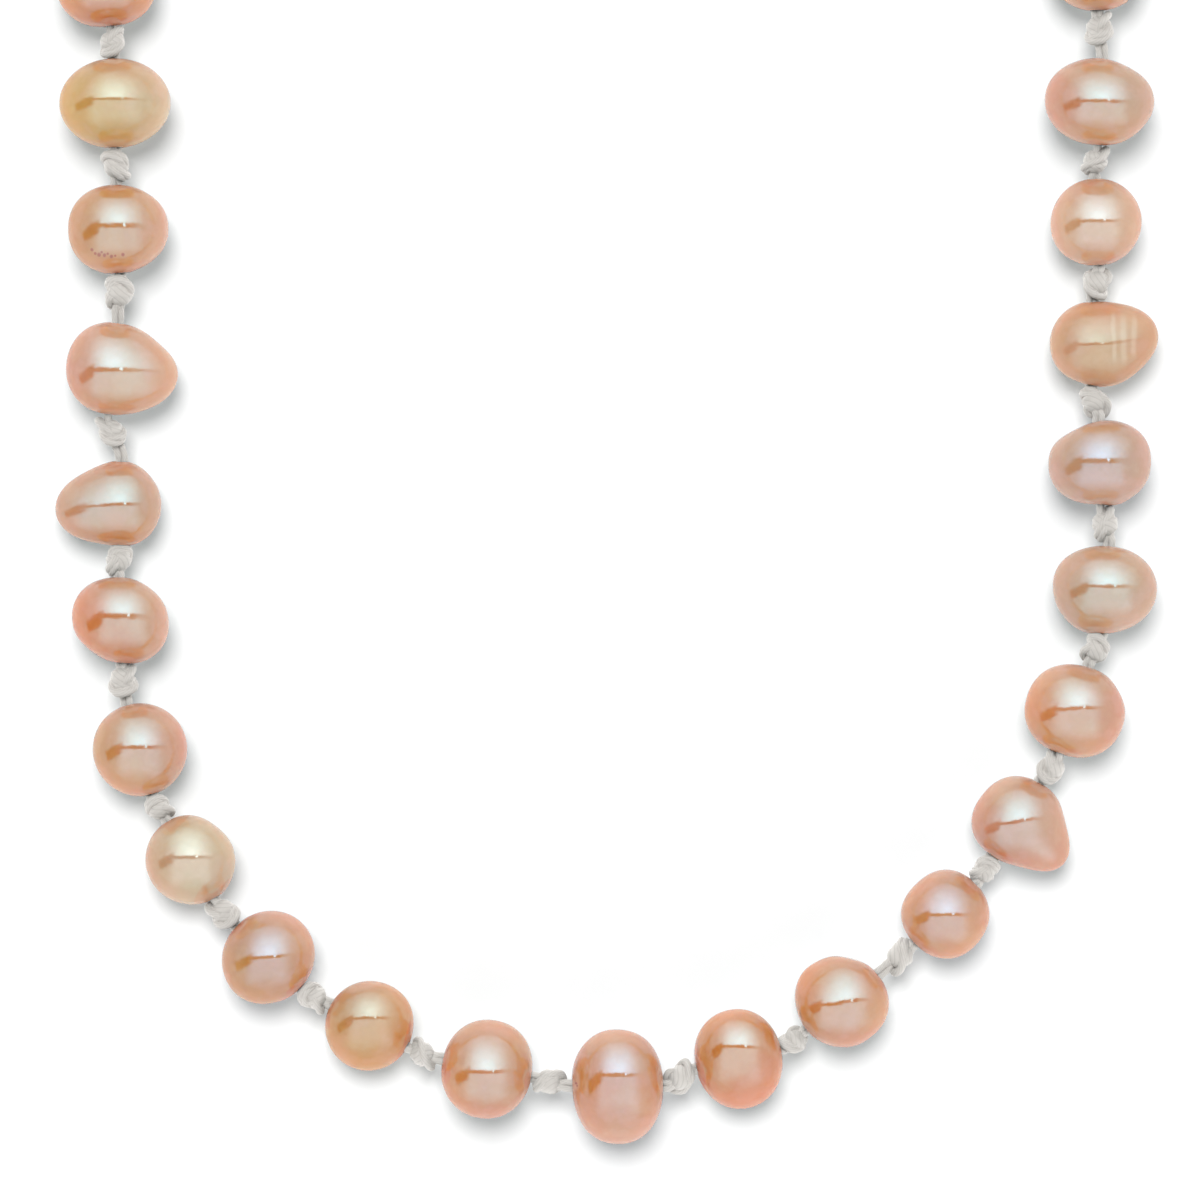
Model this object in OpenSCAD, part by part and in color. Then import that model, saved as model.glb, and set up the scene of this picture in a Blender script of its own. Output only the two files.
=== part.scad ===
// Necklace of baroque freshwater button pearls, strung on doubled silk with a
// knot after every pearl. It lies unfastened in a U with its ends leaning out:
// a lobster clasp is on the left end and a closed ring on the right, each held by
// a small loop of French wire. The row stands on z = 0 and every pearl touches it.

/* [Pearls] */
// Radius of the hole drilled through every pearl
bore_r = 0.45; // [0.42:0.01:0.55]
// Roundness of a pearl's outline: 2 is an ellipse, more is squarer
squareness = 2.2; // [2.0:0.1:2.5]
// Girth of the pearls near the two ends, measured across the thread
end_girth = 6.5; // [6.1:0.1:6.8]
// Length of the pearls near the two ends, measured along the thread
end_length = 5.9; // [5.7:0.1:6.0]

/* [Silk] */
// Radius of the doubled silk inside a pearl
thread_r = 0.38; // [0.3:0.01:0.4]
// Radius of a knot at its fattest
knot_r = 0.85; // [0.6:0.05:0.88]
// Greatest length of a knot
knot_l = 2.05; // [1.6:0.05:2.2]
// Space between a knot and the next pearl, which lets that pearl swing
knot_gap = 0.31; // [0.22:0.01:0.34]

/* [Ends] */
// Greatest lean of the two ends away from straight up, in degrees
lean = 22; // [16:1:26]
// Distance from one pearl's middle to the next near the ends
pitch = 8.25; // [8.2:0.05:8.5]
// Radius of the loop of French wire, to the middle of the wire
loop_r = 1.25; // [1.22:0.01:1.3]
// Outer radius of the French wire
wire_r = 0.42; // [0.38:0.01:0.44]
// Radius of the hole in the closed ring
ring_hole_r = 1.6; // [1.55:0.05:1.8]
// Thickness of the closed ring's metal
ring_t = 0.8; // [0.7:0.05:0.85]

/* [Clasp] */
// Thickness of the clasp's body
clasp_t = 2.7; // [2.5:0.1:2.9]
// Radius of the clasp's rivet
rivet_r = 0.35; // [0.3:0.01:0.4]
// Thickness of the lever, which turns between the body's cheeks
lever_t = 1.4; // [1.2:0.1:1.5]

/* [Hidden] */

$fn = 48;
LEFT = 1;
RIGHT = -1;
// moves the row so that the origin is under the middle of its box
SHIFT = [0.9, -54.5, 0];

// One row per pearl, from the middle outwards:
// [x, y, direction of the thread, girth, length, tint, [swelling: forwards, sideways, radius]]
CENTRE = [1.2, -32.4, 0, 7.6, 6.05, 0, []];
LEFT_ROWS = [
    [-7.5, -31.2, 169, 6.75, 6.15, 1, []],
    [-15.4, -28.4, 151, 6.0, 5.85, 2, []],
    [-22.1, -23.8, 136, 6.4, 6.0, 1, []],
    [-27.3, -17.3, 121, 6.0, 6.0, 3, []],
    [-30.7, -10.0, 105, 6.4, 6.25, 1, []],
    [-32.0, -1.3, 92, 6.5, 5.7, 0, []],
    [-32.0, 6.5, 89, 5.5, 5.6, 2, [[0, 1.6, 2.2], [0, 2.8, 1.5]]],
    [-32.5, 15.4, 84, 6.2, 6.1, 1, [[0.2, -2.7, 1.6]]],
    [-32.1, 24.7, 92, 6.75, 6.0, 0, []],
    [-32.3, 33.1, 91, 7.4, 5.95, 3, []],
    [-32.9, 41.2, 95, 6.8, 6.0, 0, []]
];
RIGHT_ROWS = [
    [9.2, -30.6, 13, 6.6, 5.9, 0, []],
    [16.1, -26.8, 38, 6.15, 6.1, 0, []],
    [23.0, -20.9, 44, 6.1, 5.75, 2, []],
    [27.7, -14.6, 57, 5.9, 5.85, 1, [[-0.4, -2.1, 2.0]]],
    [31.6, -7.4, 72, 6.6, 6.0, 0, []],
    [33.7, 0.7, 85, 6.85, 5.8, 2, []],
    [33.3, 9.2, 91, 6.9, 5.65, 1, []],
    [32.8, 17.1, 90, 5.6, 5.6, 2, [[0, -1.6, 2.3], [0, -2.7, 1.7]]],
    [33.1, 25.2, 93, 6.05, 5.85, 3, []],
    [33.3, 33.2, 87, 7.3, 5.85, 1, []],
    [33.1, 42.2, 91, 6.6, 5.9, 0, []]
];
// pearls on each side in all
SIDE_N = 22;
TINTS = ["#e9bd9c", "#e3b0a5", "#dcb287", "#ead2b4"];

// the pearls towards the ends follow a rule: they lean out, then straighten again
function lean_at(side, k) = 90 + side * lean * sin(180 * (k - 0.5) / 12);
function next_row(side, last, k) =
    let (h = lean_at(side, k), m = (h + last[2]) / 2)
    [last[0] + pitch * cos(m), last[1] + pitch * sin(m), h,
     end_girth + 0.3 * sin(137 * k + 40 * side), end_length + 0.12 * cos(97 * k + 20 * side),
     (k * 2 + (side > 0 ? 0 : 1) + floor(k / 3)) % 4, []];
function grow(side, rows, k) =
    len(rows) >= SIDE_N ? rows : grow(side, concat(rows, [next_row(side, rows[len(rows) - 1], k)]), k + 1);
L_ALL = grow(LEFT, LEFT_ROWS, 1);
R_ALL = grow(RIGHT, RIGHT_ROWS, 1);
function rows_of(side) = side > 0 ? L_ALL : R_ALL;

function dir(h) = [cos(h), sin(h), 0];
function mid(row) = [row[0], row[1], row[3] / 2];
function in_mouth(row) = mid(row) - row[4] / 2 * dir(row[2]);
function out_mouth(row) = mid(row) + row[4] / 2 * dir(row[2]);
C_LEFT = [CENTRE[0], CENTRE[1], 180, CENTRE[3], CENTRE[4]];

// loop of French wire at an end: where its middle lies
LOOP_Z = loop_r + wire_r;
LOOP_OUT = 1.95;
function loop_mid(side) =
    let (r = rows_of(side)[SIDE_N - 1], m = out_mouth(r))
    [m[0], m[1], LOOP_Z] + LOOP_OUT * dir(r[2]);
function end_dir(side) = rows_of(side)[SIDE_N - 1][2];

// clasp, in its own frame: the eye's middle is the origin and the claw lies along +X
CLASP_Z = 1.5;
EYE_R = 0.85;
EYE_OUT = 1.65;
EYE_T = 0.8;
PIN = [4.2, -1.35];
GATE_R = 5;
RING_LEAN = 18;

function arc(cx, cy, rx, ry, a0, a1, n) =
    [for (i = [0:n]) let (a = a0 + (a1 - a0) * i / n) [cx + rx * cos(a), cy + ry * sin(a)]];
function sq(v, p) = sign(v) * pow(abs(v), p);

// turns +Z to point along d, from p
module along(p, d) {
    translate(p) rotate([0, acos(d[2] / norm(d)), atan2(d[1], d[0])]) children();
}

// half outline of a pearl from one mouth of its bore to the other, beside the thread
module pearl_outline(girth, length) {
    g = girth / 2;
    a0 = asin(pow(bore_r / g, squareness / 2));
    n = 22;
    polygon([for (i = [0:n])
        let (a = a0 + (180 - 2 * a0) * i / n)
        [max(bore_r, g * sq(sin(a), 2 / squareness)), -length / 2 * sq(cos(a), 2 / squareness)]]);
}

module pearl(row) {
    color(TINTS[row[5]])
    translate(mid(row)) rotate([0, 0, row[2]]) difference() {
        union() {
            rotate([0, 90, 0]) rotate_extrude() pearl_outline(row[3], row[4]);
            for (s = row[6]) intersection() {
                translate([s[0], s[1], 0]) sphere(r = s[2]);
                // the swelling keeps clear of the drilled hole
                translate([-8, s[1] > 0 ? 0.6 : -8.6, -8]) cube([16, 8, 16]);
            }
        }
    }
}

// half outline of a knot and of the thread on both its sides; g is the space it bridges
module knot_outline(g, joined) {
    neck = 0.9 * thread_r;
    top = g - knot_gap;
    long = min(top - 0.18, knot_l);
    rz = min(knot_r, long / 2);
    base = top - long;
    a0 = asin(neck / knot_r);
    start = joined ? [[0, g + 0.12], [neck, g + 0.12]] : [[0, top]];
    first = joined ? a0 : 15;
    polygon(concat(
        start,
        [for (i = [0:6]) let (a = first + (90 - first) * i / 6) [knot_r * sin(a), top - rz * (1 - cos(a))]],
        [for (i = [0:6]) let (a = 90 - (90 - a0) * i / 6) [knot_r * sin(a), base + rz * (1 - cos(a)) - 0.001]],
        [[neck, -0.12], [0, -0.12]]
    ));
}

// the silk of one pearl: the stretch in its bore and the knot on its outer side
module silk(row, to, joined = false) {
    color("#d8d2c8") union() {
        along(in_mouth(row), dir(row[2])) cylinder(r = thread_r, h = row[4]);
        along(out_mouth(row), to - out_mouth(row))
            rotate_extrude() knot_outline(norm(to - out_mouth(row)), joined);
    }
}

module silk_centre() {
    color("#d8d2c8") union() {
        along(in_mouth(CENTRE), dir(0)) cylinder(r = thread_r, h = CENTRE[4]);
        for (to = [[out_mouth(CENTRE), in_mouth(R_ALL[0])], [out_mouth(C_LEFT), in_mouth(L_ALL[0])]])
            along(to[0], to[1] - to[0]) rotate_extrude() knot_outline(norm(to[1] - to[0]), false);
    }
}

module one_pearl(side, i) { pearl(rows_of(side)[i - 1]); }
module one_silk(side, i) { silk(rows_of(side)[i - 1], in_mouth(rows_of(side)[i])); }

// pearls from one number to another, as separate solids
module pearl_run(side, from, to) {
    for (i = [from:to]) pearl(rows_of(side)[i - 1]);
}

// silk through a run of pearls in one length, ending in a knot
module silk_run(side, from, to) {
    union() for (i = [from:to])
        silk(rows_of(side)[i - 1], in_mouth(rows_of(side)[i]), i < to);
}

// silk through the last run: it ends in the loop that lies inside the French wire
module silk_end(side, from) {
    last = rows_of(side)[SIDE_N - 1];
    k = loop_mid(side);
    union() {
        for (i = [from:SIDE_N - 1])
            silk(rows_of(side)[i - 1], in_mouth(rows_of(side)[i]), true);
        color("#d8d2c8") along(in_mouth(last), dir(last[2])) cylinder(r = thread_r, h = last[4]);
        color("#d8d2c8") along(out_mouth(last), k - out_mouth(last))
            translate([0, 0, -0.12]) cylinder(r = 0.9 * thread_r, h = norm(k - out_mouth(last)) - loop_r + 0.12);
        color("#d8d2c8") translate(k) rotate([90, 0, last[2]])
            rotate_extrude() translate([loop_r, 0]) circle(r = 0.24);
    }
}

// coiled tube that guards the silk loop, open where the silk enters it
module french_wire(side) {
    m = out_mouth(rows_of(side)[SIDE_N - 1]);
    enter = atan2(m[2] - LOOP_Z, -LOOP_OUT);
    color("#d9b56a") translate(loop_mid(side)) rotate([90, 0, end_dir(side)])
        rotate([0, 0, enter + 24]) rotate_extrude(angle = 312) translate([loop_r, 0])
            difference() { circle(r = wire_r); circle(r = 0.27); }
}

// puts a child at the loop's outer wire, with +X pointing away from the pearls
module at_end(side, z) {
    translate([loop_mid(side)[0], loop_mid(side)[1], z] + loop_r * dir(end_dir(side)))
        rotate([0, 0, end_dir(side)]) children();
}

module claw_ring() {
    difference() {
        polygon(arc(6.2, 0, 4.6, 3.1, 0, 360, 48));
        polygon(arc(6.7, 0.15, 2.9, 1.75, 0, 360, 40));
    }
}
// the part of the claw that the lever closes: its tip runs on a circle round the rivet
module claw_gate(gap) {
    intersection() {
        translate(PIN) circle(r = GATE_R - gap);
        polygon([[PIN[0] - 0.2, PIN[1] - 0.1 - gap], [PIN[0] + 1.0, -0.2 - gap], [9.6, -0.3 - gap],
                 [9.6, -4], [PIN[0] - 0.2, -4]]);
    }
}

module clasp_body() {
    color("#d9b56a") at_end(LEFT, CLASP_Z) difference() {
        union() {
            translate([0, 0, -EYE_T / 2]) cylinder(r = EYE_OUT, h = EYE_T);
            translate([0, 0, -clasp_t / 2]) linear_extrude(clasp_t) difference() {
                claw_ring();
                intersection() {
                    claw_gate(0);
                    translate([PIN[0] + 1.25, -4]) square([6, 4.6]);
                }
            }
        }
        translate([0, 0, -clasp_t]) cylinder(r = EYE_R, h = 2 * clasp_t);
        // slot between the cheeks for the lever's root
        translate([PIN[0], PIN[1], -lever_t / 2 - 0.1]) cylinder(r = 1.75, h = lever_t + 0.2);
        translate([PIN[0] - 1.1, -4, -lever_t / 2 - 0.1]) cube([3.2, 4 + PIN[1], lever_t + 0.2]);
        translate([PIN[0], PIN[1], -clasp_t]) cylinder(r = rivet_r, h = 2 * clasp_t);
    }
}

module clasp_lever() {
    color("#d9b56a") at_end(LEFT, CLASP_Z) difference() {
        union() {
            translate([PIN[0], PIN[1], -lever_t / 2]) cylinder(r = 0.95, h = lever_t);
            translate([0, 0, -lever_t / 2]) linear_extrude(lever_t) intersection() {
                claw_ring();
                claw_gate(0.08);
            }
            // thumb nub
            translate([PIN[0] - 0.55, -3.35, -lever_t / 2]) cylinder(r = 0.6, h = lever_t);
            translate([PIN[0] - 0.9, -3.2, -lever_t / 2]) cube([1.3, 1.9, lever_t]);
        }
        translate([PIN[0], PIN[1], -clasp_t]) cylinder(r = rivet_r + 0.05, h = 2 * clasp_t);
    }
}

module clasp_rivet() {
    color("#c9a55a") at_end(LEFT, CLASP_Z)
        translate([PIN[0], PIN[1], -clasp_t / 2]) cylinder(r = rivet_r, h = clasp_t);
}

// small C-shaped leaf behind the lever's root
module clasp_spring() {
    color("#b9b9b4") at_end(LEFT, CLASP_Z) translate([PIN[0], PIN[1], -0.3])
        rotate([0, 0, 110]) rotate_extrude(angle = 80) translate([1.53, 0]) square([0.2, 0.6]);
}

// closed ring that the claw hooks into; its inner wall is a short true cylinder
module end_ring() {
    h = ring_t / 2;
    c = ring_t * 0.26;
    color("#d9b56a") at_end(RIGHT, 1.06) translate([1.0, 0, 0]) rotate([0, RING_LEAN, 0])
        rotate_extrude() translate([ring_hole_r, 0])
            polygon([[0, -h + c], [c, -h], [ring_t - c, -h], [ring_t, -h + c],
                     [ring_t, h - c], [ring_t - c, h], [c, h], [0, h - c]]);
}

translate(SHIFT) pearl(CENTRE);  // pearl_centre
translate(SHIFT) one_pearl(LEFT, 1);  // pearl_left_01
translate(SHIFT) one_pearl(LEFT, 2);  // pearl_left_02
translate(SHIFT) one_pearl(LEFT, 3);  // pearl_left_03
translate(SHIFT) one_pearl(LEFT, 4);  // pearl_left_04
translate(SHIFT) one_pearl(LEFT, 5);  // pearl_left_05
translate(SHIFT) one_pearl(LEFT, 6);  // pearl_left_06
translate(SHIFT) one_pearl(LEFT, 7);  // pearl_left_07
translate(SHIFT) one_pearl(LEFT, 8);  // pearl_left_08
translate(SHIFT) one_pearl(LEFT, 9);  // pearl_left_09
translate(SHIFT) pearl_run(LEFT, 10, 14);  // pearls_left_lower
translate(SHIFT) pearl_run(LEFT, 15, 18);  // pearls_left_middle
translate(SHIFT) pearl_run(LEFT, 19, 22);  // pearls_left_upper
translate(SHIFT) one_pearl(RIGHT, 1);  // pearl_right_01
translate(SHIFT) one_pearl(RIGHT, 2);  // pearl_right_02
translate(SHIFT) one_pearl(RIGHT, 3);  // pearl_right_03
translate(SHIFT) one_pearl(RIGHT, 4);  // pearl_right_04
translate(SHIFT) one_pearl(RIGHT, 5);  // pearl_right_05
translate(SHIFT) one_pearl(RIGHT, 6);  // pearl_right_06
translate(SHIFT) one_pearl(RIGHT, 7);  // pearl_right_07
translate(SHIFT) one_pearl(RIGHT, 8);  // pearl_right_08
translate(SHIFT) one_pearl(RIGHT, 9);  // pearl_right_09
translate(SHIFT) pearl_run(RIGHT, 10, 14);  // pearls_right_lower
translate(SHIFT) pearl_run(RIGHT, 15, 18);  // pearls_right_middle
translate(SHIFT) pearl_run(RIGHT, 19, 22);  // pearls_right_upper
translate(SHIFT) silk_centre();
translate(SHIFT) one_silk(LEFT, 1);  // silk_left_01
translate(SHIFT) one_silk(LEFT, 2);  // silk_left_02
translate(SHIFT) one_silk(LEFT, 3);  // silk_left_03
translate(SHIFT) one_silk(LEFT, 4);  // silk_left_04
translate(SHIFT) one_silk(LEFT, 5);  // silk_left_05
translate(SHIFT) one_silk(LEFT, 6);  // silk_left_06
translate(SHIFT) one_silk(LEFT, 7);  // silk_left_07
translate(SHIFT) one_silk(LEFT, 8);  // silk_left_08
translate(SHIFT) one_silk(LEFT, 9);  // silk_left_09
translate(SHIFT) silk_run(LEFT, 10, 14);  // silk_left_lower
translate(SHIFT) silk_run(LEFT, 15, 18);  // silk_left_middle
translate(SHIFT) silk_end(LEFT, 19);  // silk_left_upper
translate(SHIFT) one_silk(RIGHT, 1);  // silk_right_01
translate(SHIFT) one_silk(RIGHT, 2);  // silk_right_02
translate(SHIFT) one_silk(RIGHT, 3);  // silk_right_03
translate(SHIFT) one_silk(RIGHT, 4);  // silk_right_04
translate(SHIFT) one_silk(RIGHT, 5);  // silk_right_05
translate(SHIFT) one_silk(RIGHT, 6);  // silk_right_06
translate(SHIFT) one_silk(RIGHT, 7);  // silk_right_07
translate(SHIFT) one_silk(RIGHT, 8);  // silk_right_08
translate(SHIFT) one_silk(RIGHT, 9);  // silk_right_09
translate(SHIFT) silk_run(RIGHT, 10, 14);  // silk_right_lower
translate(SHIFT) silk_run(RIGHT, 15, 18);  // silk_right_middle
translate(SHIFT) silk_end(RIGHT, 19);  // silk_right_upper
translate(SHIFT) french_wire(LEFT);  // french_wire_left
translate(SHIFT) french_wire(RIGHT);  // french_wire_right
translate(SHIFT) clasp_body();
translate(SHIFT) clasp_lever();
translate(SHIFT) clasp_rivet();
translate(SHIFT) clasp_spring();
translate(SHIFT) end_ring();
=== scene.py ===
"""Looks of the pearl necklace: nacre pearls, knotted doubled silk, French wire, clasp and ring."""
import bpy
import bmesh
import math
import numpy as np
from mathutils import Vector, Matrix


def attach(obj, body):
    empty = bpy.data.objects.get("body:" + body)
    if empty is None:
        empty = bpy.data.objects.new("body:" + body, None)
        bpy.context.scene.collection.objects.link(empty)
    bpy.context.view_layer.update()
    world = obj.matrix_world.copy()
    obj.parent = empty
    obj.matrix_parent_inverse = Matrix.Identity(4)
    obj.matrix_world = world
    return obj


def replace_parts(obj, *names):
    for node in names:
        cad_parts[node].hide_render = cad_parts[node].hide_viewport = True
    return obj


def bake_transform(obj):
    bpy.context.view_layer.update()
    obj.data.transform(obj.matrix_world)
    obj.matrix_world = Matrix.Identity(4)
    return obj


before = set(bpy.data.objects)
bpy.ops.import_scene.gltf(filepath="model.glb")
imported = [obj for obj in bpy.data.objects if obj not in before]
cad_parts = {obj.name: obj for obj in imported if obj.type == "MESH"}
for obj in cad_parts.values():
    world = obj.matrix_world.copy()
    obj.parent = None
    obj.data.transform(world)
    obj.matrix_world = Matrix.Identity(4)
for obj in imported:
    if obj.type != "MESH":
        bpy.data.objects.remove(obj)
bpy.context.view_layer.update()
scene = bpy.context.scene
MM = 0.001

# ---------------------------------------------------------------- the layout, as in the CAD (mm)
SHIFT = np.array([0.9, -54.5, 0.0])
BORE = 0.45
END_GIRTH, END_LENGTH, LEAN, PITCH, SIDE_N = 6.5, 5.9, 22.0, 8.25, 22
LOOP_R, WIRE_R, LOOP_OUT = 1.25, 0.42, 1.95
LOOP_Z, CLASP_Z, RING_Z, RING_LEAN = 1.67, 1.5, 1.06, 18.0
CENTRE = [1.2, -32.4, 0, 7.6, 6.05]
LEFT_ROWS = [
    [-7.5, -31.2, 169, 6.75, 6.15], [-15.4, -28.4, 151, 6.0, 5.85], [-22.1, -23.8, 136, 6.4, 6.0],
    [-27.3, -17.3, 121, 6.0, 6.0], [-30.7, -10.0, 105, 6.4, 6.25], [-32.0, -1.3, 92, 6.5, 5.7],
    [-32.0, 6.5, 89, 5.5, 5.6], [-32.5, 15.4, 84, 6.2, 6.1], [-32.1, 24.7, 92, 6.75, 6.0],
    [-32.3, 33.1, 91, 7.4, 5.95], [-32.9, 41.2, 95, 6.8, 6.0],
]
RIGHT_ROWS = [
    [9.2, -30.6, 13, 6.6, 5.9], [16.1, -26.8, 38, 6.15, 6.1], [23.0, -20.9, 44, 6.1, 5.75],
    [27.7, -14.6, 57, 5.9, 5.85], [31.6, -7.4, 72, 6.6, 6.0], [33.7, 0.7, 85, 6.85, 5.8],
    [33.3, 9.2, 91, 6.9, 5.65], [32.8, 17.1, 90, 5.6, 5.6], [33.1, 25.2, 93, 6.05, 5.85],
    [33.3, 33.2, 87, 7.3, 5.85], [33.1, 42.2, 91, 6.6, 5.9],
]


def rad(a):
    return math.radians(a)


def heading(h):
    return np.array([math.cos(rad(h)), math.sin(rad(h)), 0.0])


def grow(side, rows):
    rows = [list(r) for r in rows]
    k = 1
    while len(rows) < SIDE_N:
        last = rows[-1]
        h = 90 + side * LEAN * math.sin(rad(180 * (k - 0.5) / 12))
        m = (h + last[2]) / 2
        rows.append([last[0] + PITCH * math.cos(rad(m)), last[1] + PITCH * math.sin(rad(m)), h,
                     END_GIRTH + 0.3 * math.sin(rad(137 * k + 40 * side)),
                     END_LENGTH + 0.12 * math.cos(rad(97 * k + 20 * side))])
        k += 1
    return rows


ROWS = {"left": grow(1, LEFT_ROWS), "right": grow(-1, RIGHT_ROWS)}


def mid(row):
    return np.array([row[0], row[1], row[3] / 2])


def in_mouth(row):
    return mid(row) - row[4] / 2 * heading(row[2])


def out_mouth(row):
    return mid(row) + row[4] / 2 * heading(row[2])


def body_name(side, i):
    """The CAD body of pearl i (1 is next to the centre pearl, 0 is the centre pearl)."""
    if i == 0:
        return "pearl_centre"
    if i <= 9:
        return "pearl_%s_%02d" % (side, i)
    return "pearls_%s_%s" % (side, "lower" if i <= 14 else "middle" if i <= 18 else "upper")


def silk_node(side, i):
    if i == 0:
        return "silk_centre"
    return body_name(side, i).replace("pearls_", "silk_").replace("pearl_", "silk_")


# ---------------------------------------------------------------- mesh helpers
def new_object(name, points, faces, material, uv=None, colour=None, smooth=True):
    """A mesh object from points in mm, in the unshifted layout."""
    mesh = bpy.data.meshes.new(name)
    co = (np.asarray(points, float) + SHIFT) * MM
    mesh.from_pydata([tuple(p) for p in co], [], [tuple(int(i) for i in f) for f in faces])
    mesh.update()
    if colour is not None:
        at = mesh.color_attributes.new("tone", "FLOAT_COLOR", "POINT")
        rgba = np.ones((len(points), 4), np.float32)
        rgba[:, :3] = colour
        at.data.foreach_set("color", rgba.ravel())
    if uv is not None:
        layer = mesh.uv_layers.new(name="along")
        layer.data.foreach_set("uv", np.asarray(uv, np.float32).ravel())
    bm = bmesh.new()
    bm.from_mesh(mesh)
    bmesh.ops.recalc_face_normals(bm, faces=bm.faces)
    bm.to_mesh(mesh)
    bm.free()
    if smooth:
        mesh.polygons.foreach_set("use_smooth", [True] * len(mesh.polygons))
    mesh.materials.append(material)
    obj = bpy.data.objects.new(name, mesh)
    scene.collection.objects.link(obj)
    return obj


def grid_faces(n_rings, n_around, closed_rings=False, start=0):
    """Quads between rings of n_around points each."""
    out = []
    for i in range(n_rings if closed_rings else n_rings - 1):
        a, b = start + i * n_around, start + ((i + 1) % n_rings) * n_around
        for j in range(n_around):
            k = (j + 1) % n_around
            out.append((a + j, a + k, b + k, b + j))
    return out


# ---------------------------------------------------------------- materials
class Nodes:
    """Short calls for building a node tree."""

    def __init__(self, tree):
        self.t = tree
        tree.nodes.clear()

    def add(self, kind, inputs=None, **props):
        n = self.t.nodes.new(kind)
        for k, v in props.items():
            setattr(n, k, v)
        for k, v in (inputs or {}).items():
            s = n.inputs[k]
            if isinstance(v, bpy.types.NodeSocket):
                self.t.links.new(v, s)
            else:
                s.default_value = v
        return n

    def math(self, op, a, b=None, c=None, clamp=False):
        n = self.t.nodes.new("ShaderNodeMath")
        n.operation = op
        n.use_clamp = clamp
        for i, v in enumerate((a, b, c)):
            if v is None:
                continue
            if isinstance(v, bpy.types.NodeSocket):
                self.t.links.new(v, n.inputs[i])
            else:
                n.inputs[i].default_value = v
        return n.outputs[0]

    def ramp(self, x, lo, hi, a=0.0, b=1.0):
        """Smooth step of x from lo to hi, giving a to b."""
        n = self.t.nodes.new("ShaderNodeMapRange")
        n.interpolation_type = "SMOOTHSTEP"
        n.clamp = True
        if isinstance(x, bpy.types.NodeSocket):
            self.t.links.new(x, n.inputs[0])
        n.inputs[1].default_value, n.inputs[2].default_value = lo, hi
        n.inputs[3].default_value, n.inputs[4].default_value = a, b
        return n.outputs[0]

    def mix(self, fac, a, b, blend="MIX"):
        n = self.t.nodes.new("ShaderNodeMix")
        n.data_type = "RGBA"
        n.blend_type = blend
        for s, v in ((n.inputs[0], fac), (n.inputs[6], a), (n.inputs[7], b)):
            if isinstance(v, bpy.types.NodeSocket):
                self.t.links.new(v, s)
            else:
                s.default_value = v if not isinstance(v, tuple) else (*v, 1.0)[:4]
        return n.outputs[2]


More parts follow.
